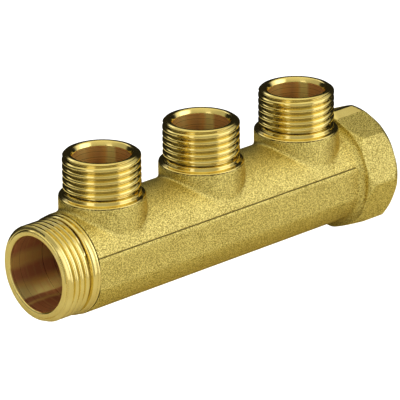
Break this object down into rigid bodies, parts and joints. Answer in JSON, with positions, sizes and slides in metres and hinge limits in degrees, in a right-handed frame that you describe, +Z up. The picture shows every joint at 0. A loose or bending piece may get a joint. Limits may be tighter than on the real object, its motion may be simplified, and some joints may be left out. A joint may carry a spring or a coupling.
{
  "type": "pipe manifold bar",
  "caption": "Straight brass manifold bar: threaded male inlet, octagonal female end, and a row of threaded male outlets on bosses along its top.",
  "frame": {"origin": "under the middle of the bar, level with the lowest edge of the octagonal end; the main axis runs 17.318 mm above it", "axes": "+X along the main axis from the male inlet to the female end, +Z up along the outlets, +Y across"},
  "size_m": [0.12, 0.0346, 0.0454],
  "materials": {
    "forged_brass": "hot forged and shot blasted, fine matt grain",
    "turned_brass": "bright turned",
    "seal_rubber": "smooth black rubber"
  },
  "bodies": {
    "root": {"manifold_body": "forged_brass", "inlet_nipple": "turned_brass", "outlet_nipple_1": "turned_brass", "outlet_nipple_2": "turned_brass", "outlet_nipple_3": "turned_brass", "inlet_o_ring": "seal_rubber", "outlet_o_ring_1": "seal_rubber", "outlet_o_ring_2": "seal_rubber", "outlet_o_ring_3": "seal_rubber"}
  },
  "joints": []
}
